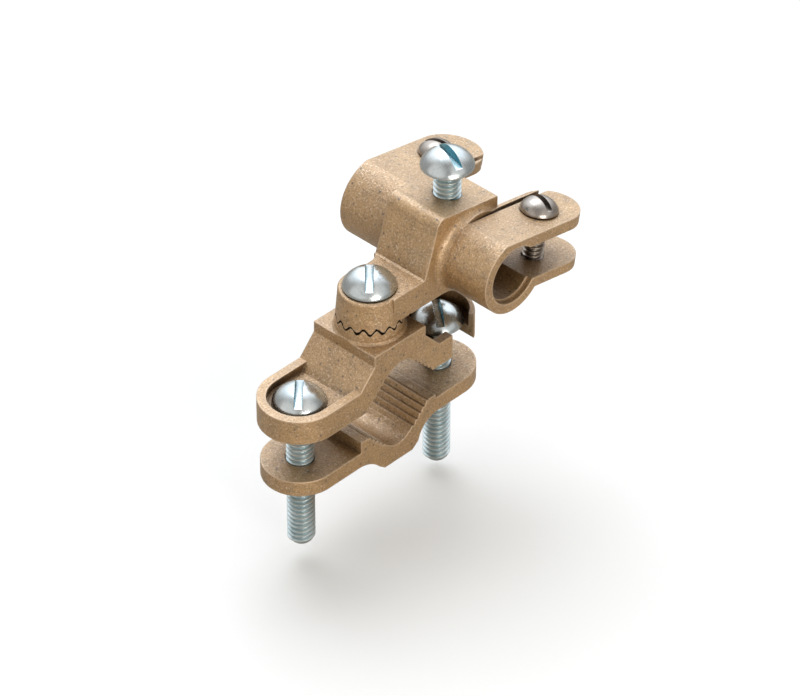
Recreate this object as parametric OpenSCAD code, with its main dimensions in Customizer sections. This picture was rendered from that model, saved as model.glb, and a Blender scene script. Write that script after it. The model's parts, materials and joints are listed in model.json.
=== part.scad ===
// Armoured cable ground clamp: two-screw pipe clamp with a toothed swivel hub,
// a wire lug block and two split armour barrels.
// Origin: axis of the gripped pipe, midway along the jaws.
// X across the two clamp screws, Y along the pipe, Z up.

/* [Pipe clamp] */
// Width of the upper jaw along the pipe
jaw_width = 18.4; // [17.6:0.1:19.0]
// Width of the lower jaw along the pipe
lower_width = 17.4; // [16.8:0.1:18.2]
// Half the distance between the two clamp screws
screw_half_pitch = 21.1; // [20.6:0.1:21.8]
// Distance from the pipe axis to each grip face
grip_distance = 9.55; // [9.4:0.05:9.7]
// Depth of the grip teeth
grip_tooth_depth = 0.55; // [0.4:0.05:0.7]
// Spacing of the grip teeth
grip_tooth_pitch = 1.6; // [1.5:0.05:1.7]
// Height of the flat on top of the upper jaw
plateau_z = 16.9; // [16.6:0.1:17.3]
// Half length of that flat
plateau_half = 7.8; // [7.7:0.1:8.1]
// Height of the rim round each screw pocket
ear_top_z = 9.5; // [9.2:0.1:9.8]
// Height of the pocket floor that the screw heads bear on
seat_z = 7.7; // [7.4:0.1:7.9]
// How much deeper the floor of the slotted ear lies
right_seat_drop = 1.8; // [1.5:0.1:2.0]
// Height of the underside of the upper ears
ear_under_z = 3.4; // [3.1:0.1:3.8]
// Radius of each screw pocket
pocket_r = 7.1; // [6.8:0.1:7.3]
// Width of the side entry slot in the right ear
slot_width = 8.2; // [7.8:0.1:8.6]
// Distance from the right screw to the middle of its slot
slot_offset = 0.7; // [0.4:0.1:1.0]
// Distance from the right screw back to the centre of its round end
right_ear_inset = 1.3; // [1.0:0.1:1.5]
// Top of the lower ears
lower_ear_top_z = -7.5; // [-7.8:0.1:-7.2]
// Underside of the lower ears
lower_ear_under_z = -11.3; // [-11.6:0.1:-11.0]
// How much higher the right lower ear stands
lower_ear_lift = 2; // [1.6:0.1:2.2]
// Underside of the lower jaw
lower_floor_z = -15.8; // [-16.2:0.1:-15.4]

/* [Swivel joint] */
// Number of radial teeth in the swivel joint
swivel_teeth = 16; // [12:1:20]
// Mean plane of the teeth
teeth_z = 19.9; // [19.8:0.05:20.0]
// Outer radius of the toothed boss
teeth_r = 7.4; // [7.2:0.1:7.5]
// Height of a full tooth above the mean plane at the outer radius
teeth_rise = 0.68; // [0.6:0.02:0.75]
// Flat left on the crest below the full height
crest_cut = 0.1; // [0.05:0.01:0.15]
// Play between the two toothed faces
teeth_play = 0.22; // [0.15:0.01:0.25]
// Radius of the boss below its teeth
boss_r = 7.6; // [7.5:0.05:7.65]

/* [Hub] */
// Top face of the hub collar and arm
collar_top_z = 27; // [26.8:0.1:27.3]
// Half width of the arm
arm_half = 7.35; // [6.9:0.05:7.35]
// Underside of the arm
arm_under_z = 20.6; // [20.5:0.1:20.9]
// Half width of the wire block
block_half = 7.4; // [7.2:0.1:7.6]
// Barrel axis, distance from the pivot
barrel_x = 23.2; // [23.0:0.1:23.4]
// Barrel axis, height
barrel_z = 28.2; // [28.0:0.1:28.4]
// Slope of the barrel ears
ear_slope = 10; // [8:0.5:11]
// Outer radius of the near barrel
near_r = 9.2; // [9.0:0.1:9.4]
// Bore radius of the near barrel
near_bore_r = 6.3; // [6.1:0.1:6.5]
// End of the near barrel
near_end_y = 20.8; // [20.4:0.1:21.2]
// Outer radius of the far barrel
far_r = 9.8; // [9.6:0.1:10.0]
// Bore radius of the far barrel
far_bore_r = 6.9; // [6.7:0.1:7.1]
// End of the far barrel
far_end_y = 22; // [21.6:0.1:22.4]
// Depth of the flat on the crown of the near barrel
near_flat = 0.9; // [0.7:0.1:1.1]
// Depth of the flat on the crown of the far barrel
far_flat = 0.5; // [0.4:0.1:0.7]
// Thickness of the upper ears
upper_ear = 2.7; // [2.4:0.1:2.9]
// Top of the lower ears, below the barrel axis
lower_ear_drop = 2.9; // [2.6:0.1:3.1]
// Thickness of the lower ears
lower_ear = 2.4; // [2.2:0.1:2.6]
// Radius of the wire hole through the block
wire_r = 4; // [3.7:0.1:4.2]

/* [Screws] */
// Shank radius of the four larger screws
shank_r = 3.1; // [3.05:0.01:3.15]
// Head radius of the larger screws
head_r = 6; // [5.8:0.1:6.2]
// Head height of the larger screws
head_h = 4.3; // [4.0:0.1:4.5]
// Shank radius of the ear screws
small_shank_r = 2.38; // [2.3:0.02:2.42]
// Head radius of the ear screws
small_head_r = 4.3; // [4.1:0.1:4.5]
// Head height of the ear screws
small_head_h = 3.3; // [3.0:0.1:3.5]
// Length of the clamp screws under the head
clamp_length = 38.1; // [37.6:0.1:38.6]
// Length of the pivot screw under the head
pivot_length = 12.7; // [12.4:0.1:13.0]
// Length of the set screw and ear screws under the head
short_length = 15.9; // [15.6:0.1:16.2]
// Height of the set screw head above the pipe axis
set_head_z = 46.4; // [46.0:0.1:47.0]
// Radial clearance of a screw in its hole
hole_play = 0.08; // [0.06:0.01:0.1]

/* [Hidden] */
facets = 64;
past = 1;
seat_gap = 0.02;
hole_r = shank_r + hole_play;
small_hole_r = small_shank_r + hole_play;
// V grip faces
vee_apex = grip_distance * sqrt(2);
vee_apex_z = 11.4;
vee_blend = 1.02;
vee_foot = (vee_apex - vee_apex_z) / (vee_blend - 1 / sqrt(2)) / sqrt(2);
vee_centre_z = vee_apex - vee_foot * sqrt(2);
vee_round_r = vee_apex_z - vee_centre_z;
grip_teeth = 5;
grip_first = 6.1;
grip_lead = 0.3;
// Upper jaw
slot_x = screw_half_pitch - slot_offset;
ear_r = jaw_width / 2;
step_z = 14.3;
slope_foot = 12.2;
slope_rate = (step_z - ear_top_z) / (slope_foot - plateau_half);
slope_toe = slope_foot + (ear_top_z - seat_z + past) / slope_rate;
right_toe = 13.9;
left_shift = 0.5;
hip_r = 8.1;
hip_rise = 0.5;
boss_cone_z = 17.9;
boss_foot_z = 12.6;
relief_r = 3.9;
relief_depth = 1.2;
// Lower jaw
lower_r = lower_width / 2;
cradle_wall_x = 11.6;
cradle_top_z = -4.6;
floor_half = 4.3;
floor_bevel_x = 6.2;
floor_bevel_z = lower_floor_z + 1.5;
sweep_x = 12.4;
sweep_run = sweep_x - floor_bevel_x;
// Swivel teeth: every flank passes through the swivel axis on the mean plane
quarter_step = 90 / swivel_teeth;
root_slope = atan(teeth_rise / teeth_r);
flank = sin(root_slope) / tan(quarter_step);
tooth_reach = 9;
groove_half = 1.4;
crest_z = teeth_rise - crest_cut;
// Hub
fold_x = 9;
block_right = 32;
block_right_z = 37.8;
block_base = 24;
fold_run = 0.5;
fold_rise = 0.2;
wall_run = 2.1;
wall_rise = 4.8;
brow_x = 15.6;
brow_z = 37.9;
brow_r = 2.6;
brow_in = 0.05;
web_end_x = 17.6;
web_end_run = 3.4;
web_end_drop = 0.4;
arm_far = 6;
arm_end = 11.6;
flare_x = 6.2;
flare_r = 4.03;
flare_y = arm_far + flare_r - 0.03;
cove = 1.7;
far_cove = 1.3;
cove_lip = 0.05;
slit_tip = -3.6;
slit_y = 9.05;
slit_far_x = 8;
slit_end_y = 7.9;
slit_low = 2;
reach_out = 60;
collar_r = 7.5;
collar_top_r = 6.9;
collar_round = 0.3;
near_y = -block_half;
ledge_depth = 1.3;
ledge_step = 0.6;
floor_y = 1.2;
near_ear_reach = 17;
far_ear_reach = 15.5;
lower_ear_more = 0.9;
near_screw = 13.8;
far_screw = 12.2;
far_screw_out = 0.7;
drill_floor = 2;
ear_root = block_half - 0.4;
saw_root = block_half - 0.7;
drum_root = block_half - 1.1;
near_mid = (near_end_y + ear_root) / 2;
far_mid = (far_end_y + ear_root) / 2;
near_half = (near_end_y - ear_root) / 2;
far_half = (far_end_y - ear_root) / 2;
ear_start = 0.9;
set_x = 24;
// Screw details
slot_w = 1.8;
slot_deep = 2.3;
small_slot_w = 1.3;
small_slot_deep = 1.7;
head_rim = 0.6;
tip_bevel = 0.8;

// Screw position, seat and lower ear level on each side
function screw_x(side) = side > 0 ? screw_half_pitch : -screw_half_pitch - left_shift;
function seat(side) = side > 0 ? seat_z - right_seat_drop : seat_z;
function lift(side) = side > 0 ? lower_ear_lift : 0;
function sweep_drop(side) = lower_ear_under_z + lift(side) - floor_bevel_z;
function sweep_r(side) = (pow(sweep_run, 2) + pow(sweep_drop(side), 2)) / (2 * sweep_drop(side));

// One side of the grip teeth, cut into a face that runs down at 45 degrees
module grip_notches() {
  for (i = [0 : grip_teeth - 1])
    translate([grip_first + i * grip_tooth_pitch, 0])
      polygon([[0, -past], [grip_tooth_pitch, -past], [grip_tooth_pitch, 0],
               [grip_lead, grip_tooth_depth], [0, 0]]);
}

// The V opening with its rounded apex and toothed faces, apex up
module vee_outline() {
  reach = vee_apex + grip_distance;
  intersection() {
    polygon([[-reach, vee_apex - reach], [0, vee_apex], [reach, vee_apex - reach]]);
    union() {
      translate([0, vee_centre_z])
        circle(r = vee_round_r, $fn = facets);
      translate([-2 * reach, vee_centre_z + vee_foot / sqrt(2) - 4 * reach])
        square(4 * reach);
    }
  }
  for (side = [0, 1])
    mirror([side, 0])
      translate([0, vee_apex])
        rotate(-45)
          grip_notches();
}

// Extrudes an X-Z outline to both sides of Y = 0
module along_pipe(half) {
  translate([0, half, 0])
    rotate([90, 0, 0])
      linear_extrude(height = 2 * half)
        children();
}

// Obround ear in plan, from a root out to one side
module ear_plan(r, root, reach, side) {
  translate([side * reach, 0])
    circle(r = r, $fn = facets);
  translate([side > 0 ? root : -reach, -r])
    square([reach - root, 2 * r]);
}

// Radial V grooves that leave the teeth of the upward facing ring
module tooth_grooves(turn) {
  for (i = [0 : swivel_teeth - 1])
    rotate([0, root_slope, turn + i * 360 / swivel_teeth])
      rotate([90, 0, 90])
        linear_extrude(height = tooth_reach)
          polygon([[0, 0], [groove_half, groove_half * flank],
                   [groove_half, past * 2], [-groove_half, past * 2],
                   [-groove_half, groove_half * flank]]);
}

module upper_jaw_body() {
  along_pipe(jaw_width / 2)
    polygon([[-slope_foot, ear_under_z], [-slope_foot, ear_top_z],
             [-plateau_half, step_z], [-plateau_half, plateau_z],
             [plateau_half, plateau_z], [plateau_half, step_z],
             [slope_foot, ear_top_z], [slope_foot, ear_under_z]]);
  for (side = [-1, 1])
    translate([0, 0, ear_under_z])
      linear_extrude(height = ear_top_z - ear_under_z)
        ear_plan(ear_r, slope_foot,
                 abs(screw_x(side)) - (side > 0 ? right_ear_inset : 0), side);
  translate([0, 0, boss_foot_z])
    cylinder(h = boss_cone_z - boss_foot_z, r = boss_r, $fn = facets);
  translate([0, 0, boss_cone_z])
    cylinder(h = teeth_z + crest_z - boss_cone_z, r1 = boss_r, r2 = teeth_r, $fn = facets);
  intersection() {
    translate([0, 0, plateau_z])
      cylinder(h = hip_rise, r1 = hip_r, r2 = boss_r, $fn = facets);
    translate([-plateau_half, -jaw_width / 2, plateau_z])
      cube([2 * plateau_half, jaw_width, hip_rise]);
  }
}

// Screw pocket, open towards the web, whose slope runs down to its floor
module pocket(side) {
  difference() {
    translate([0, 0, seat(side)])
      linear_extrude(height = step_z)
        union() {
          translate([screw_x(side), 0])
            circle(r = pocket_r, $fn = facets);
          translate([side > 0 ? slope_foot : screw_x(side), -pocket_r])
            square([abs(screw_x(side)) - slope_foot, 2 * pocket_r]);
        }
    along_pipe(jaw_width)
      polygon([[0, seat(side) - past],
               [side > 0 ? right_toe : -slope_toe, seat(side) - past],
               [side * slope_foot, ear_top_z],
               [side * plateau_half, step_z], [0, step_z]]);
  }
}

module upper_jaw() {
  color("tan")
    difference() {
      upper_jaw_body();
      along_pipe(jaw_width)
        vee_outline();
      for (side = [-1, 1])
        pocket(side);
      translate([screw_x(-1), 0, 0])
        cylinder(h = ear_top_z + past, r = hole_r, $fn = facets);
      translate([slot_x - slot_width / 2, -jaw_width, 0])
        cube([slot_width, jaw_width, ear_top_z + past]);
      translate([slot_x, 0, 0])
        cylinder(h = ear_top_z + past, r = slot_width / 2, $fn = facets);
      translate([0, 0, teeth_z])
        tooth_grooves(0);
      translate([0, 0, teeth_z - relief_depth])
        cylinder(h = 2 * relief_depth, r = relief_r, $fn = facets);
      cylinder(h = teeth_z, r = hole_r, $fn = facets);
    }
}

module lower_outline() {
  difference() {
    polygon([[-cradle_wall_x, cradle_top_z], [-cradle_wall_x, lower_ear_top_z],
             [-sweep_x, lower_ear_top_z], [-sweep_x, lower_ear_under_z],
             [-sweep_x, floor_bevel_z], [-floor_bevel_x, floor_bevel_z],
             [-floor_half, lower_floor_z],
             [floor_half, lower_floor_z], [floor_bevel_x, floor_bevel_z],
             [sweep_x, floor_bevel_z], [sweep_x, lower_ear_under_z],
             [sweep_x, lower_ear_top_z + lift(1)], [cradle_wall_x, lower_ear_top_z + lift(1)],
             [cradle_wall_x, cradle_top_z]]);
    for (side = [-1, 1])
      translate([side * sweep_x, lower_ear_under_z + lift(side) - sweep_r(side)])
        circle(r = sweep_r(side), $fn = facets);
  }
}

module lower_jaw() {
  color("tan")
    difference() {
      union() {
        along_pipe(lower_width / 2)
          lower_outline();
        for (side = [-1, 1])
          translate([0, 0, lower_ear_under_z + lift(side)])
            linear_extrude(height = lower_ear_top_z - lower_ear_under_z)
              ear_plan(lower_r, sweep_x, abs(screw_x(side)), side);
      }
      along_pipe(jaw_width)
        mirror([0, 1])
          vee_outline();
      for (side = [-1, 1])
        translate([screw_x(side), 0, lower_ear_under_z - past])
          cylinder(h = lower_ear_top_z - lower_ear_under_z + lift(side) + 2 * past,
                   r = hole_r, $fn = facets);
    }
}

// Round head slotted screw, under side of the head at Z = 0, shank down
module screw(r, length, cap_r, cap_h, slot, deep, turn) {
  dome_h = cap_h - head_rim;
  dome_r = (cap_r * cap_r + dome_h * dome_h) / (2 * dome_h);
  difference() {
    union() {
      cylinder(h = head_rim, r = cap_r, $fn = facets);
      intersection() {
        translate([0, 0, cap_h - dome_r])
          sphere(r = dome_r, $fn = facets);
        cylinder(h = cap_h + past, r = cap_r + past, $fn = facets);
      }
      translate([0, 0, tip_bevel - length])
        cylinder(h = length - tip_bevel + head_rim / 2, r = r, $fn = facets);
      translate([0, 0, -length])
        cylinder(h = tip_bevel, r1 = r - tip_bevel, r2 = r, $fn = facets);
    }
    rotate([0, 0, turn])
      translate([-cap_r - past, -slot / 2, cap_h - deep])
        cube([2 * (cap_r + past), slot, deep + past]);
  }
}

module large_screw(length, turn) {
  screw(shank_r, length, head_r, head_h, slot_w, slot_deep, turn);
}

module clamp_screw_left() {
  color("silver")
    translate([screw_x(-1), 0, seat(-1) + seat_gap])
      large_screw(clamp_length, 42);
}

module clamp_screw_right() {
  color("silver")
    translate([screw_x(1), 0, seat(1) + seat_gap])
      large_screw(clamp_length, 52);
}

module pivot_screw() {
  color("silver")
    translate([0, 0, collar_top_z + seat_gap])
      large_screw(pivot_length, 44);
}

module set_screw() {
  color("silver")
    translate([set_x, 0, set_head_z])
      large_screw(short_length, 74);
}

// Places children on the sloping frame of the barrels
module on_barrel() {
  translate([barrel_x, 0, barrel_z])
    rotate([0, ear_slope, 0])
      children();
}

module ear_screw(turn) {
  screw(small_shank_r, short_length, small_head_r, small_head_h,
        small_slot_w, small_slot_deep, turn);
}

module near_ear_screw() {
  color("gray")
    on_barrel()
      translate([near_screw, -near_mid, near_r - near_flat + seat_gap])
        ear_screw(79);
}

module far_ear_screw() {
  color("gray")
    on_barrel()
      translate([far_screw, far_mid + far_screw_out, far_r - far_flat + seat_gap])
        ear_screw(106);
}

module block_outline() {
  polygon([[0, arm_under_z], [0, collar_top_z], [fold_x, collar_top_z],
           [fold_x + fold_run, collar_top_z + fold_rise],
           [fold_x + wall_run, collar_top_z + wall_rise],
           [brow_x - brow_r - brow_in, brow_z], [brow_x, brow_z + brow_r - brow_in],
           [block_right, block_right_z], [block_right, block_base],
           [web_end_x + web_end_run, arm_under_z - web_end_drop],
           [web_end_x, arm_under_z]]);
  translate([brow_x, brow_z])
    circle(r = brow_r, $fn = facets);
}

// Arm seen from above, flared on the far side into the block
module arm_plan() {
  translate([0, -arm_half])
    square([arm_end, arm_half + arm_far]);
  difference() {
    translate([flare_x, 0])
      square([arm_end - flare_x, block_half - cove_lip]);
    translate([flare_x, flare_y])
      circle(r = flare_r, $fn = facets);
  }
}

// Cove between a block face and a barrel; side is -1 near, 1 far
module cove_ring(r, size, side) {
  rotate([-90 * side, 0, 0])
    translate([0, 0, block_half])
      rotate_extrude($fn = facets)
        difference() {
          translate([r - past, -past])
            square([size + past, size + past]);
          translate([r + size, size])
            circle(r = size - cove_lip, $fn = facets);
        }
}

// Slit in plan that frees a barrel ear from the block, near side
module slit_plan() {
  polygon([[slit_tip, -slit_y], [reach_out, -slit_y], [reach_out, -slit_end_y],
           [slit_far_x, -slit_end_y]]);
}

// One pair of barrel ears seen from the side, on the sloping frame
module ear_pair(flat_z, reach, half) {
  translate([0, 0, flat_z - upper_ear - past])
    linear_extrude(height = upper_ear + past)
      ear_plan(half, -ear_start, reach, 1);
  translate([0, 0, -lower_ear_drop - lower_ear])
    linear_extrude(height = lower_ear + past)
      ear_plan(half, -ear_start, reach + lower_ear_more, 1);
}

// Flat that lowers the crown of a barrel beside the block; side is -1 near, 1 far
module crown_flat(side, r, flat_z, end) {
  translate([-r, side > 0 ? slit_y : -end - past, flat_z])
    cube([reach_out, end - slit_y + past, r]);
}

// Barrel along Y from y0 over a length, on the sloping frame
module drum(r, y0, length) {
  translate([0, y0 + length, 0])
    rotate([90, 0, 0])
      cylinder(h = length, r = r, $fn = facets * 2);
}

module hub_solid() {
  translate([0, 0, teeth_z - crest_z + teeth_play])
    cylinder(h = collar_top_z - collar_round - teeth_z + crest_z - teeth_play,
             r1 = collar_r, r2 = collar_top_r, $fn = facets);
  translate([0, 0, collar_top_z - collar_round])
    cylinder(h = collar_round, r1 = collar_top_r, r2 = collar_top_r - collar_round,
             $fn = facets);
  intersection() {
    along_pipe(block_half)
      block_outline();
    linear_extrude(height = reach_out)
      arm_plan();
  }
  along_pipe(block_half)
    intersection() {
      block_outline();
      translate([fold_x, 0])
        square([reach_out, reach_out]);
    }
  intersection() {
    along_pipe(block_half + cove + past)
      block_outline();
    on_barrel() {
      cove_ring(near_r, cove, -1);
      cove_ring(far_r, far_cove, 1);
    }
  }
  on_barrel() {
    drum(far_r, drum_root, far_end_y - drum_root);
    drum(near_r, -near_end_y, near_end_y + block_half + floor_y);
    translate([0, -near_mid, 0])
      ear_pair(near_r - near_flat, near_ear_reach, near_half);
    translate([0, far_mid, 0])
      ear_pair(far_r - far_flat, far_ear_reach, far_half);
  }
}

// Bore, entry step and side mouth of one barrel; side is -1 near, 1 far
module barrel_hollow(side, bore, flat_z, end) {
  start = block_half + floor_y;
  depth = end - start;
  y0 = side > 0 ? start : -end - past;
  drum(bore, y0, depth + past);
  drum(bore + ledge_step, side > 0 ? end - ledge_depth : -end - past, ledge_depth + past);
  translate([0, side > 0 ? saw_root : -end - past, -lower_ear_drop])
    cube([reach_out, end - saw_root + past, flat_z - upper_ear + lower_ear_drop]);
}

module hub() {
  color("tan")
    difference() {
      hub_solid();
      on_barrel() {
        barrel_hollow(-1, near_bore_r, near_r - near_flat, near_end_y);
        barrel_hollow(1, far_bore_r, far_r - far_flat, far_end_y);
        crown_flat(-1, near_r, near_r - near_flat, near_end_y);
        crown_flat(1, far_r, far_r - far_flat, far_end_y);
        for (side = [0, 1])
          mirror([0, side, 0])
            translate([0, 0, slit_low])
              linear_extrude(height = far_r)
                slit_plan();
        drum(wire_r, -block_half - 2 * floor_y, 2 * block_half + 4 * floor_y);
        translate([near_screw, -near_mid, -near_r])
          cylinder(h = 2 * near_r + past, r = small_hole_r, $fn = facets);
        translate([far_screw, far_mid + far_screw_out, -far_r])
          cylinder(h = 2 * far_r + past, r = small_hole_r, $fn = facets);
      }
      translate([set_x, 0, barrel_z - drill_floor])
        cylinder(h = reach_out, r = hole_r, $fn = facets);
      translate([0, 0, teeth_z + teeth_play])
        mirror([0, 0, 1])
          tooth_grooves(2 * quarter_step);
      translate([0, 0, teeth_z - relief_depth])
        cylinder(h = 2 * relief_depth, r = relief_r, $fn = facets);
      cylinder(h = collar_top_z + past, r = hole_r, $fn = facets);
    }
}

upper_jaw();
lower_jaw();
clamp_screw_left();
clamp_screw_right();
hub();
pivot_screw();
set_screw();
near_ear_screw();
far_ear_screw();
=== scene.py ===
import json
import math
from collections import namedtuple

import bpy
import bmesh
from mathutils import Matrix, Vector


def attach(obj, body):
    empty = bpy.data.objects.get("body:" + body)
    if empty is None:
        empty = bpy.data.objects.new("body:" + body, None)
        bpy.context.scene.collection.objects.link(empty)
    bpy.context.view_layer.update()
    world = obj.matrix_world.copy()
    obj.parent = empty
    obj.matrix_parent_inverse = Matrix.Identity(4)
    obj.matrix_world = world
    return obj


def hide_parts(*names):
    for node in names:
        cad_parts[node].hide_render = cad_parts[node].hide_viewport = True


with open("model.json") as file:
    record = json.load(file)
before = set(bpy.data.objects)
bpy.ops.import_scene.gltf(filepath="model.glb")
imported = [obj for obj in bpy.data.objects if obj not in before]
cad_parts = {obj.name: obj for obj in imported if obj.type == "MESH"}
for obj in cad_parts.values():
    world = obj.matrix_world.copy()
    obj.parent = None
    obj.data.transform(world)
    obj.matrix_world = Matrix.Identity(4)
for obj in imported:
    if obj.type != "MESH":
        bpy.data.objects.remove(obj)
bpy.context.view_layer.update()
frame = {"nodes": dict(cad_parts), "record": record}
nodes = frame["nodes"]
scene = bpy.context.scene
MM = 0.001

# Picture and camera, fitted to the photograph
WIDTH_PX = 800
HEIGHT_PX = 696
AZIMUTH = math.radians(-46.0)
ELEVATION = math.radians(38.2)
FOCAL_PX = 4700.0
SCALE_PX_MM = 4.6
ORIGIN_PX = (370.0, 384.8)     # where the frame's origin falls in the picture
SENSOR_MM = 36.0

# Toothed swivel joint: the visual seam, a painted shadow of the gap, follows the mean line of its teeth
TOOTH_STEP = math.radians(22.5)
TOOTH_RISE = 0.62 * MM
SEAM_Z = 20.0 * MM
SEAM_REACH = 8.3 * MM          # the seam shows on the collar only
SEAM_HALF_WIDTH = (0.16 * MM, 0.50 * MM)
COLLAR_REACH = 8.9 * MM
COLLAR_LOW_Z = 20.5 * MM

# Sloping frame of the two barrels
SLOPE = math.radians(10.0)
BARREL = Matrix.Translation(Vector((23.2, 0.0, 28.2)) * MM) @ Matrix.Rotation(SLOPE, 4, "Y")

FLOOR_Z = -35.2 * MM           # just under the lower jaw at the bottom of its travel


def set_camera():
    back = Vector((math.sin(AZIMUTH) * math.cos(ELEVATION),
                   -math.cos(AZIMUTH) * math.cos(ELEVATION), math.sin(ELEVATION)))
    right = Vector((math.cos(AZIMUTH), math.sin(AZIMUTH), 0.0))
    up = back.cross(right)
    distance = FOCAL_PX / SCALE_PX_MM * MM
    shift_right = (WIDTH_PX / 2 - ORIGIN_PX[0]) / SCALE_PX_MM * MM
    shift_up = (ORIGIN_PX[1] - HEIGHT_PX / 2) / SCALE_PX_MM * MM
    data = bpy.data.cameras.new("camera")
    data.sensor_width = SENSOR_MM
    data.lens = FOCAL_PX * SENSOR_MM / WIDTH_PX
    data.clip_start = 0.05
    data.clip_end = 20.0
    cam = bpy.data.objects.new("camera", data)
    scene.collection.objects.link(cam)
    scene.camera = cam
    cam.location = back * distance + right * shift_right + up * shift_up
    cam.rotation_euler = Matrix((right, up, back)).transposed().to_euler()
    scene.render.resolution_x = WIDTH_PX
    scene.render.resolution_y = HEIGHT_PX
    scene.render.resolution_percentage = 100
    scene.view_settings.view_transform = "Standard"


class Mat:
    """A node material with a few short helpers."""

    def __init__(self, name):
        self.mat = bpy.data.materials.new(name)
        self.mat.use_nodes = True
        self.t = self.mat.node_tree
        self.t.nodes.clear()
        out = self.t.nodes.new("ShaderNodeOutputMaterial")
        self.bsdf = self.t.nodes.new("ShaderNodeBsdfPrincipled")
        self.t.links.new(self.bsdf.outputs["BSDF"], out.inputs["Surface"])
        self.coord = self.t.nodes.new("ShaderNodeTexCoord").outputs["Object"]

    def link(self, a, b):
        self.t.links.new(a, b)

    def noise(self, scale, detail=4.0, rough=0.6, distort=0.0):
        n = self.t.nodes.new("ShaderNodeTexNoise")
        n.inputs["Scale"].default_value = scale
        n.inputs["Detail"].default_value = detail
        n.inputs["Roughness"].default_value = rough
        n.inputs["Distortion"].default_value = distort
        self.link(self.coord, n.inputs["Vector"])
        return n.outputs["Fac"]

    def cells(self, scale):
        n = self.t.nodes.new("ShaderNodeTexVoronoi")
        n.inputs["Scale"].default_value = scale
        self.link(self.coord, n.inputs["Vector"])
        return n.outputs["Distance"]

    def ramp(self, fac, stops):
        r = self.t.nodes.new("ShaderNodeValToRGB")
        els = r.color_ramp.elements
        for el, (pos, col) in zip(els, stops):
            el.position = pos
            el.color = (*col, 1.0)
        self.link(fac, r.inputs["Fac"])
        return r.outputs["Color"]

    def level(self, fac, lo, hi, out_lo=0.0, out_hi=1.0, smooth=False):
        m = self.t.nodes.new("ShaderNodeMapRange")
        m.interpolation_type = "SMOOTHSTEP" if smooth else "LINEAR"
        m.inputs["From Min"].default_value = lo
        m.inputs["From Max"].default_value = hi
        m.inputs["To Min"].default_value = out_lo
        m.inputs["To Max"].default_value = out_hi
        self.link(fac, m.inputs["Value"])
        return m.outputs["Result"]

    def mix(self, kind, factor, a, b):
        m = self.t.nodes.new("ShaderNodeMix")
        m.data_type = "RGBA"
        m.blend_type = kind
        self.link(factor, m.inputs["Factor"])
        for key, val in (("A", a), ("B", b)):
            if isinstance(val, tuple):
                m.inputs[key].default_value = (*val, 1.0)
            else:
                self.link(val, m.inputs[key])
        return m.outputs["Result"]

    def bump(self, height, strength, dist, normal):
        b = self.t.nodes.new("ShaderNodeBump")
        b.inputs["Strength"].default_value = strength
        b.inputs["Distance"].default_value = dist
        self.link(height, b.inputs["Height"])
        self.link(normal, b.inputs["Normal"])
        return b.outputs["Normal"]

    def bevel(self, radius):
        b = self.t.nodes.new("ShaderNodeBevel")
        b.samples = 8
        b.inputs["Radius"].default_value = radius
        return b.outputs["Normal"]

    def openness(self, reach, inside=False):
        ao = self.t.nodes.new("ShaderNodeAmbientOcclusion")
        ao.samples = 6
        ao.inside = inside
        ao.inputs["Distance"].default_value = reach
        return ao.outputs["AO"]

    def edges(self, reach):
        """1 on outer edges, 0 on flats and in corners."""
        return self.level(self.openness(reach, inside=True), 0.93, 0.62)

    def nook(self, reach, lo, hi):
        """1 deep in corners and holes, 0 on open faces."""
        return self.level(self.openness(reach), hi, lo)

    def math(self, op, a, b=None, c=None):
        m = self.t.nodes.new("ShaderNodeMath")
        m.operation = op
        for sock, val in zip(m.inputs, (a, b, c)):
            if isinstance(val, float):
                sock.default_value = val
            elif val is not None:
                self.link(val, sock)
        return m.outputs["Value"]

    def position(self):
        """x, y, z and the squared distance from the swivel axis, in metres."""
        sep = self.t.nodes.new("ShaderNodeSeparateXYZ")
        self.link(self.coord, sep.inputs["Vector"])
        x, y, z = sep.outputs
        return x, y, z, self.math("ADD", self.math("MULTIPLY", x, x), self.math("MULTIPLY", y, y))

    def tooth_line(self):
        """1 along the wavy seam between the two toothed faces, where the shadow in the gap is painted dark."""
        x, y, z, r2 = self.position()
        turn = self.math("DIVIDE", self.math("ARCTAN2", y, x), TOOTH_STEP)
        up = self.level(self.math("PINGPONG", turn, 0.5), 0.0, 0.5, smooth=True)
        wave = self.math("MULTIPLY_ADD", up, 2.0 * TOOTH_RISE, SEAM_Z - TOOTH_RISE)
        off = self.math("ABSOLUTE", self.math("SUBTRACT", z, wave))
        wide = self.level(self.noise(700.0, 2.0), 0.35, 0.65, *SEAM_HALF_WIDTH)
        seam = self.math("SUBTRACT", 1.0, self.math("DIVIDE", off, wide))
        near = self.math("LESS_THAN", r2, SEAM_REACH ** 2)
        return self.math("MULTIPLY", self.level(seam, -0.3, 0.35), near)

    def edge_lightening_share(self):
        """How much outer edges are lightened, as wear and painted highlight: less round the collar, where they
        run out.
        """
        x, y, z, r2 = self.position()
        collar = self.math("MULTIPLY", self.math("LESS_THAN", r2, COLLAR_REACH ** 2),
                           self.math("GREATER_THAN", z, COLLAR_LOW_Z))
        return self.level(collar, 0.0, 1.0, 0.65, 0.12)


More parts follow.
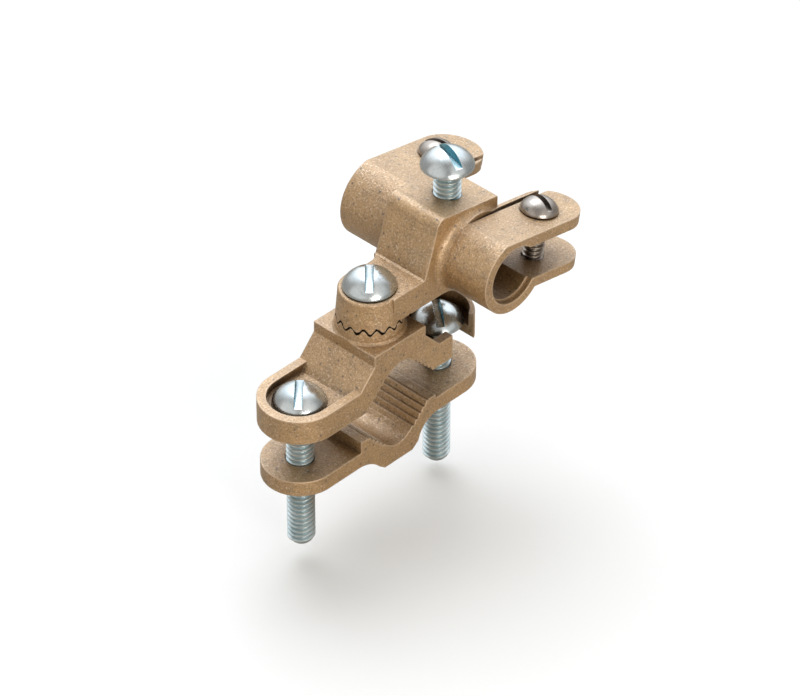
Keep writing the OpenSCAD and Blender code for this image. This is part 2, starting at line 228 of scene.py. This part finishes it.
def cast_bronze():
    """Sand-cast bronze: grainy, with pale grains and dark specks; outer edges lighter from wear and painted
    highlight; painted shade in corners and deep places, and a painted shadow along the tooth seam.
    """
    m = Mat("cast_bronze")
    wave = m.noise(190.0, 2.0, 0.5)
    broad = m.noise(70.0, 3.0)
    patch = m.noise(330.0, 4.0, 0.65, 0.5)
    grain = m.noise(2300.0, 3.0, 0.75)
    pits = m.cells(1100.0)
    specks = m.cells(420.0)
    brown, tan = (0.43, 0.243, 0.080), (0.54, 0.320, 0.116)
    mottle, pale_grain, dark_grain = (0.30, 0.178, 0.068), (0.86, 0.68, 0.50), (0.30, 0.27, 0.26)
    speck, edge_wear_and_highlight = (0.20, 0.20, 0.23), (0.74, 0.54, 0.35)
    corner_shade, deep_shade, seam_shadow = (0.34, 0.27, 0.20), (0.19, 0.15, 0.10), (0.010, 0.006, 0.003)

    col = m.ramp(broad, [(0.35, brown), (0.65, tan)])
    col = m.mix("MIX", m.level(patch, 0.50, 0.68, 0.0, 0.62), col, mottle)
    col = m.mix("MIX", m.level(grain, 0.55, 0.68, 0.0, 0.85), col, pale_grain)
    col = m.mix("MULTIPLY", m.level(grain, 0.45, 0.31, 0.0, 0.95), col, dark_grain)
    col = m.mix("MULTIPLY", m.level(specks, 0.16, 0.08, 0.0, 0.85), col, speck)
    # lighter outer edges: partly wear, partly painted highlight
    col = m.mix("MIX", m.math("MULTIPLY", m.edges(0.42 * MM), m.edge_lightening_share()), col, edge_wear_and_highlight)
    # painted shade: darker in corners and creases, from ambient occlusion
    col = m.mix("MULTIPLY", m.nook(2.2 * MM, 0.15, 0.75), col, corner_shade)
    # painted shade: darker deep between the jaws, under the arms and in bores
    shade = m.nook(18.0 * MM, 0.12, 0.74)
    col = m.mix("MULTIPLY", shade, col, deep_shade)
    seam = m.tooth_line()
    # painted shadow: the narrow gap between the toothed faces drawn near black
    col = m.mix("MIX", seam, col, seam_shadow)
    m.link(col, m.bsdf.inputs["Base Color"])

    # the painted seam shadow has no gloss, and deep places, with painted shade, have little
    off_seam = m.math("SUBTRACT", 1.0, seam)
    open_face = m.math("MULTIPLY", off_seam, m.level(shade, 0.0, 1.0, 1.0, 0.15))
    m.link(m.math("MULTIPLY", off_seam, 0.42), m.bsdf.inputs["Metallic"])
    m.link(m.math("MULTIPLY", open_face, 0.50), m.bsdf.inputs["Specular IOR Level"])
    m.link(m.math("MULTIPLY", open_face, 0.60), m.bsdf.inputs["Coat Weight"])
    m.bsdf.inputs["Coat Roughness"].default_value = 0.42
    m.bsdf.inputs["Coat IOR"].default_value = 1.6
    m.bsdf.inputs["IOR"].default_value = 2.6
    m.link(m.level(grain, 0.3, 0.7, 0.52, 0.30), m.bsdf.inputs["Roughness"])

    n = m.bevel(0.45 * MM)
    n = m.bump(wave, 0.45, 0.70 * MM, n)
    n = m.bump(patch, 0.62, 0.34 * MM, n)
    n = m.bump(grain, 0.85, 0.16 * MM, n)
    n = m.bump(m.level(pits, 0.0, 0.35), 0.20, 0.10 * MM, n)
    m.link(n, m.bsdf.inputs["Normal"])
    return m.mat


def plated(name, low, high, deep, rough, edge, corner):
    """Plated steel with blotches between two tones painted as reflections, with scuffs, and the tone `deep`
    painted as shade in its corners.
    """
    m = Mat(name)
    broad = m.noise(180.0, 3.0, 0.6, 0.4)
    scuff = m.noise(420.0, 4.0, 0.7, 1.2)
    fine = m.noise(2600.0, 2.0, 0.6)
    # painted reflections: blotches between the low and high tones
    col = m.ramp(broad, [(0.35, low), (0.65, high)])
    col = m.mix("MULTIPLY", m.level(scuff, 0.56, 0.66, 0.0, 0.45), col, (0.55, 0.60, 0.64))
    # painted shade: the tone deep in corners and slot floors, from ambient occlusion
    col = m.mix("MIX", m.nook(0.9 * MM, *corner), col, deep)
    m.link(col, m.bsdf.inputs["Base Color"])
    m.bsdf.inputs["Metallic"].default_value = 1.0
    m.link(m.level(scuff, 0.35, 0.65, rough - 0.04, rough + 0.10), m.bsdf.inputs["Roughness"])
    n = m.bevel(edge)
    n = m.bump(broad, 0.10, 0.40 * MM, n)
    n = m.bump(scuff, 0.10, 0.10 * MM, n)
    n = m.bump(fine, 0.10, 0.04 * MM, n)
    m.link(n, m.bsdf.inputs["Normal"])
    return m.mat


# Each screw wears three tones: its head, its thread and the walls of its slot, a darker copy painted with the
# shade inside the slot
Finish = namedtuple("Finish", "slot head thread walls")
ZINC_EDGE = 0.12 * MM
STEEL_EDGE = 0.10 * MM
ZINC = Finish(
    slot="zinc",
    head=plated("zinc_plate", (0.50, 0.57, 0.61), (0.67, 0.715, 0.745), (0.03, 0.09, 0.115),
                0.22, ZINC_EDGE, (0.56, 0.90)),
    thread=plated("zinc_thread", (0.58, 0.69, 0.73), (0.74, 0.82, 0.85), (0.17, 0.31, 0.36),
                  0.36, ZINC_EDGE, (0.36, 0.80)),
    # painted shade: the slot's walls, a darker teal copy of the zinc plate
    walls=plated("zinc_slot", (0.22, 0.50, 0.58), (0.36, 0.64, 0.72), (0.02, 0.10, 0.14),
                 0.34, ZINC_EDGE, (0.56, 0.90)))
STEEL = Finish(
    slot="steel",
    head=plated("dull_plate", (0.33, 0.30, 0.28), (0.50, 0.465, 0.44), (0.05, 0.035, 0.03),
                0.26, STEEL_EDGE, (0.50, 0.88)),
    thread=plated("dull_thread", (0.36, 0.32, 0.29), (0.52, 0.48, 0.44), (0.06, 0.045, 0.035),
                  0.32, STEEL_EDGE, (0.42, 0.85)),
    # painted shade: the slot's walls, a darker copy of the dull plate
    walls=plated("dull_slot", (0.17, 0.145, 0.13), (0.26, 0.22, 0.20), (0.03, 0.02, 0.02),
                 0.34, STEEL_EDGE, (0.50, 0.88)))
SLOTS = {"bronze": cast_bronze(), "zinc": ZINC.head, "steel": STEEL.head}


def dress_solids():
    """Materials for the solids that stay in the picture, and for those that screws replace."""
    for row in frame["record"]["subparts"]:
        for slot in nodes[row["node"]].material_slots:
            slot.material = SLOTS[row["material_slot"]]


# Screw sizes in mm: shank radius, head radius and height, slot width and depth, thread pitch and depth
Size = namedtuple("Size", "r cap_r cap_h slot_w slot_deep pitch depth")
LARGE = Size(3.1, 6.0, 4.3, 1.8, 2.3, 1.27, 0.60)
SMALL = Size(2.38, 4.3, 3.3, 1.3, 1.7, 1.06, 0.48)
HEAD_RIM = 0.6
HEAD_SIDES = 96
HEAD_STEPS = 18
HEAD_BEVEL = 0.10
NECK = 0.4                     # how far the head's own skin reaches into the shank
THREAD_SIDES = 56
THREAD_START = -0.02           # just under the head
THREAD_PROFILE = [(0.0, 0.0), (0.16, 0.0), (0.44, 1.0), (0.60, 1.0), (0.88, 0.0)]  # (share of pitch, of depth)
TIP_BEVEL = 0.8
TIP_TAPER = 0.9


def lathe(bm, profile, sides):
    """Closed solid of revolution about Z from an (r, z) profile that starts and ends on the axis."""
    rings = []
    for r, z in profile:
        if r == 0.0:
            rings.append([bm.verts.new((0, 0, z))])
        else:
            rings.append([bm.verts.new((r * math.cos(2 * math.pi * i / sides),
                                        r * math.sin(2 * math.pi * i / sides), z)) for i in range(sides)])
    for a, b in zip(rings, rings[1:]):
        for i in range(sides):
            j = (i + 1) % sides
            loop = [a[i % len(a)], a[j % len(a)], b[j % len(b)], b[i % len(b)]]
            loop = [v for k, v in enumerate(loop) if v not in loop[:k]]
            if len(loop) > 2:
                bm.faces.new(loop)


def head_profile(size):
    """(r, z) profile of a round head: a spherical dome on a short rounded rim."""
    dome = size.cap_h - HEAD_RIM
    ball = (size.cap_r ** 2 + dome ** 2) / (2 * dome)
    full = math.asin(min(1.0, size.cap_r / ball))
    points = [(0.0, size.cap_h)]
    for k in range(1, HEAD_STEPS + 1):
        a = full * k / HEAD_STEPS
        points.append((ball * math.sin(a), size.cap_h - ball + ball * math.cos(a)))
    edge = HEAD_RIM * 0.45
    points[-1] = (size.cap_r - edge * 0.35, points[-1][1] + edge * 0.25)
    neck_r = size.r * 0.8
    points += [(size.cap_r, HEAD_RIM - edge), (size.cap_r, edge), (size.cap_r - edge, 0.0),
               (neck_r, 0.0), (neck_r, -NECK), (0.0, -NECK)]
    return points


def head_mesh(name, size, turn):
    """Slotted head with softened edges, and the numbers of the faces that wall its slot."""
    mesh = bpy.data.meshes.new(name + "_head")
    bm = bmesh.new()
    lathe(bm, head_profile(size), HEAD_SIDES)
    bmesh.ops.recalc_face_normals(bm, faces=bm.faces)
    bm.to_mesh(mesh)
    bm.free()
    head = bpy.data.objects.new(name, mesh)
    scene.collection.objects.link(head)

    floor_z = size.cap_h - size.slot_deep
    cut_mesh = bpy.data.meshes.new(name + "_slot")
    bm = bmesh.new()
    bmesh.ops.create_cube(bm, size=1.0)
    for v in bm.verts:
        low = v.co.z < 0
        v.co = Vector((v.co.x * 2 * (size.cap_r + 1), v.co.y * size.slot_w * (1.0 if low else 1.06),
                       floor_z if low else size.cap_h + 1))
    bm.to_mesh(cut_mesh)
    bm.free()
    cut = bpy.data.objects.new(name + "_slot", cut_mesh)
    scene.collection.objects.link(cut)
    cut.rotation_euler = (0, 0, turn)

    slot = head.modifiers.new("slot", "BOOLEAN")
    slot.operation = "DIFFERENCE"
    slot.solver = "EXACT"
    slot.object = cut
    soft = head.modifiers.new("edges", "BEVEL")
    soft.width = HEAD_BEVEL
    soft.segments = 2
    soft.limit_method = "ANGLE"
    soft.angle_limit = math.radians(38)
    bpy.context.view_layer.update()
    done = bpy.data.meshes.new_from_object(head.evaluated_get(bpy.context.evaluated_depsgraph_get()))
    bpy.data.objects.remove(head)
    bpy.data.objects.remove(cut)

    across = Matrix.Rotation(turn, 3, "Z") @ Vector((0, 1, 0))
    walls = {p.index for p in done.polygons
             if abs(p.normal.dot(across)) > 0.7 and abs(p.center.dot(across)) < size.slot_w / 2 * 1.1
             and p.center.z > floor_z - 0.1}
    return done, walls


def thread(bm, size, length):
    """Helical thread from just under the head down to a bevelled tip, as one skin."""
    root = size.r - size.depth
    low, high = -length, THREAD_START
    tip_r = root - TIP_BEVEL * 0.5
    turns = int(math.ceil((high - low) / size.pitch)) + 2
    rows = []
    for t in range(turns):
        for share, rise in THREAD_PROFILE:
            row = []
            for i in range(THREAD_SIDES):
                z = low - size.pitch + (t + share + i / THREAD_SIDES) * size.pitch
                flat_z = min(max(z, low), high)
                r = root + rise * size.depth
                if z <= low + TIP_BEVEL:
                    r = min(r, tip_r + max(flat_z - low, 0.0) * TIP_TAPER)
                if z > high:
                    r = root
                a = 2 * math.pi * i / THREAD_SIDES
                row.append(bm.verts.new((r * math.cos(a), r * math.sin(a), flat_z)))
            rows.append(row)
    step = len(THREAD_PROFILE)
    last = THREAD_SIDES - 1
    for k in range(len(rows) - 1):
        for i in range(last):
            bm.faces.new((rows[k][i], rows[k][i + 1], rows[k + 1][i + 1], rows[k + 1][i]))
        # the seam joins this row to the row one pitch further on
        if k + 1 + step < len(rows):
            bm.faces.new((rows[k][last], rows[k + step][0], rows[k + 1 + step][0], rows[k + 1][last]))
    centre = bm.verts.new((0, 0, low))
    for i in range(last):
        bm.faces.new((centre, rows[0][i + 1], rows[0][i]))
    bm.faces.new((centre, rows[step][0], rows[0][last]))


def make_screw(name, size, length, turn_deg, place, finish):
    """A screw with slotted head and thread, in place of the plain one; its origin is under the head."""
    mesh, walls = head_mesh(name, size, math.radians(turn_deg))
    bm = bmesh.new()
    bm.from_mesh(mesh)
    head_faces = len(bm.faces)
    thread(bm, size, length)
    bm.normal_update()
    bmesh.ops.recalc_face_normals(bm, faces=bm.faces)
    bmesh.ops.transform(bm, matrix=place @ Matrix.Scale(MM, 4), verts=bm.verts)
    bm.to_mesh(mesh)
    bm.free()
    screw = bpy.data.objects.new(name + "_detail", mesh)
    scene.collection.objects.link(screw)
    mesh.materials.clear()
    for mat in (finish.head, finish.thread, finish.walls):
        mesh.materials.append(mat)
    for poly in mesh.polygons:
        poly.use_smooth = True
        poly.material_index = 1 if poly.index >= head_faces else 2 if poly.index in walls else 0
    mesh.set_sharp_from_angle(angle=math.radians(32))
    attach(screw, name)
    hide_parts(name)


def at(x, y, z):
    return Matrix.Translation(Vector((x, y, z)) * MM)


# name, size, length in mm, turn of the slot in degrees, place under the head, finish
SCREWS = [
    ("clamp_screw_left", LARGE, 38.1, 42.0, at(-21.6, 0, 7.72), ZINC),
    ("clamp_screw_right", LARGE, 38.1, 52.0, at(21.1, 0, 5.92), ZINC),
    ("pivot_screw", LARGE, 12.7, 44.0, at(0, 0, 27.02), ZINC),
    ("set_screw", LARGE, 15.9, 74.0, at(24.0, 0, 46.4), ZINC),
    ("near_ear_screw", SMALL, 15.9, 79.0, BARREL @ at(13.8, -13.9, 8.32), STEEL),
    ("far_ear_screw", SMALL, 15.9, 106.0, BARREL @ at(12.2, 15.2, 9.32), STEEL),
]


def make_floor():
    """Plain pale floor: white to the camera, darker and warm to other rays, so it throws less light back."""
    bpy.ops.mesh.primitive_plane_add(size=6.0, location=(0.0, 0.0, FLOOR_Z))
    floor = bpy.context.object
    floor.name = "floor"
    m = Mat("pale_floor")
    path = m.t.nodes.new("ShaderNodeLightPath")
    m.link(m.mix("MIX", path.outputs["Is Camera Ray"], (0.40, 0.365, 0.32), (0.97, 0.985, 1.0)),
           m.bsdf.inputs["Base Color"])
    m.bsdf.inputs["Roughness"].default_value = 0.95
    floor.data.materials.append(m.mat)


def area(name, place, size, watts, colour):
    """Square soft light that faces the part."""
    data = bpy.data.lights.new(name, "AREA")
    data.shape = "SQUARE"
    data.size = size
    data.energy = watts
    data.color = colour
    light = bpy.data.objects.new(name, data)
    scene.collection.objects.link(light)
    light.location = place
    aim = Vector(place) - Vector((0, 0, 0.01))
    light.rotation_euler = aim.to_track_quat("Z", "Y").to_euler()


class Studio:
    """World light: an even level and soft bright patches, and plain white to the camera."""

    def __init__(self):
        world = bpy.data.worlds.new("world")
        scene.world = world
        world.use_nodes = True
        self.t = world.node_tree
        self.coord = self.node("ShaderNodeTexCoord").outputs["Generated"]

    def node(self, kind, **values):
        n = self.t.nodes.new(kind)
        for key, val in values.items():
            setattr(n, key, val)
        return n

    def math(self, operation, a, b):
        m = self.node("ShaderNodeMath", operation=operation)
        for sock, val in zip(m.inputs, (a, b)):
            if isinstance(val, float):
                sock.default_value = val
            else:
                self.t.links.new(val, sock)
        return m.outputs["Value"]

    def patch(self, direction, lo, hi, power):
        """Soft bright patch round a direction, between two cosines of the angle from it."""
        dot = self.node("ShaderNodeVectorMath", operation="DOT_PRODUCT")
        self.t.links.new(self.coord, dot.inputs[0])
        dot.inputs[1].default_value = Vector(direction).normalized()
        ramp = self.node("ShaderNodeMapRange", interpolation_type="SMOOTHSTEP")
        self.t.links.new(dot.outputs["Value"], ramp.inputs["Value"])
        ramp.inputs["From Min"].default_value = lo
        ramp.inputs["From Max"].default_value = hi
        ramp.inputs["To Min"].default_value = 0.0
        ramp.inputs["To Max"].default_value = power
        return ramp.outputs["Result"]

    def build(self):
        path = self.node("ShaderNodeLightPath")
        gloss = self.math("MULTIPLY", path.outputs["Is Glossy Ray"], 0.22)
        sky = self.patch((0.50, 0.48, 0.72), 0.45, 0.95, 1.35)
        level = self.math("ADD", self.math("ADD", 0.20, gloss), sky)
        level = self.math("ADD", level, self.patch((-0.90, 0.10, 0.45), 0.70, 0.95, 0.55))
        level = self.math("ADD", level, self.patch((0.10, -0.80, 0.60), 0.80, 0.97, 0.5))
        tint = self.node("ShaderNodeMix", data_type="RGBA")
        self.t.links.new(sky, tint.inputs["Factor"])
        tint.inputs["A"].default_value = (1.0, 0.95, 0.88, 1.0)
        tint.inputs["B"].default_value = (0.95, 0.98, 1.0, 1.0)
        light = self.t.nodes["Background"]
        self.t.links.new(tint.outputs["Result"], light.inputs["Color"])
        self.t.links.new(level, light.inputs["Strength"])
        white = self.node("ShaderNodeBackground")
        white.inputs["Color"].default_value = (1.0, 1.0, 1.0, 1.0)
        white.inputs["Strength"].default_value = 1.0
        blend = self.node("ShaderNodeMixShader")
        self.t.links.new(path.outputs["Is Camera Ray"], blend.inputs["Fac"])
        self.t.links.new(light.outputs["Background"], blend.inputs[1])
        self.t.links.new(white.outputs["Background"], blend.inputs[2])
        self.t.links.new(blend.outputs["Shader"], self.t.nodes["World Output"].inputs["Surface"])


set_camera()
dress_solids()
for screw in SCREWS:
    make_screw(*screw)
make_floor()
area("key", (0.25, 0.45, 0.95), 0.70, 3.2, (0.96, 0.98, 1.0))
area("fill", (-0.36, -0.95, 0.24), 0.50, 5.3, (1.0, 0.94, 0.85))
Studio().build()
scene.cycles.samples = 64
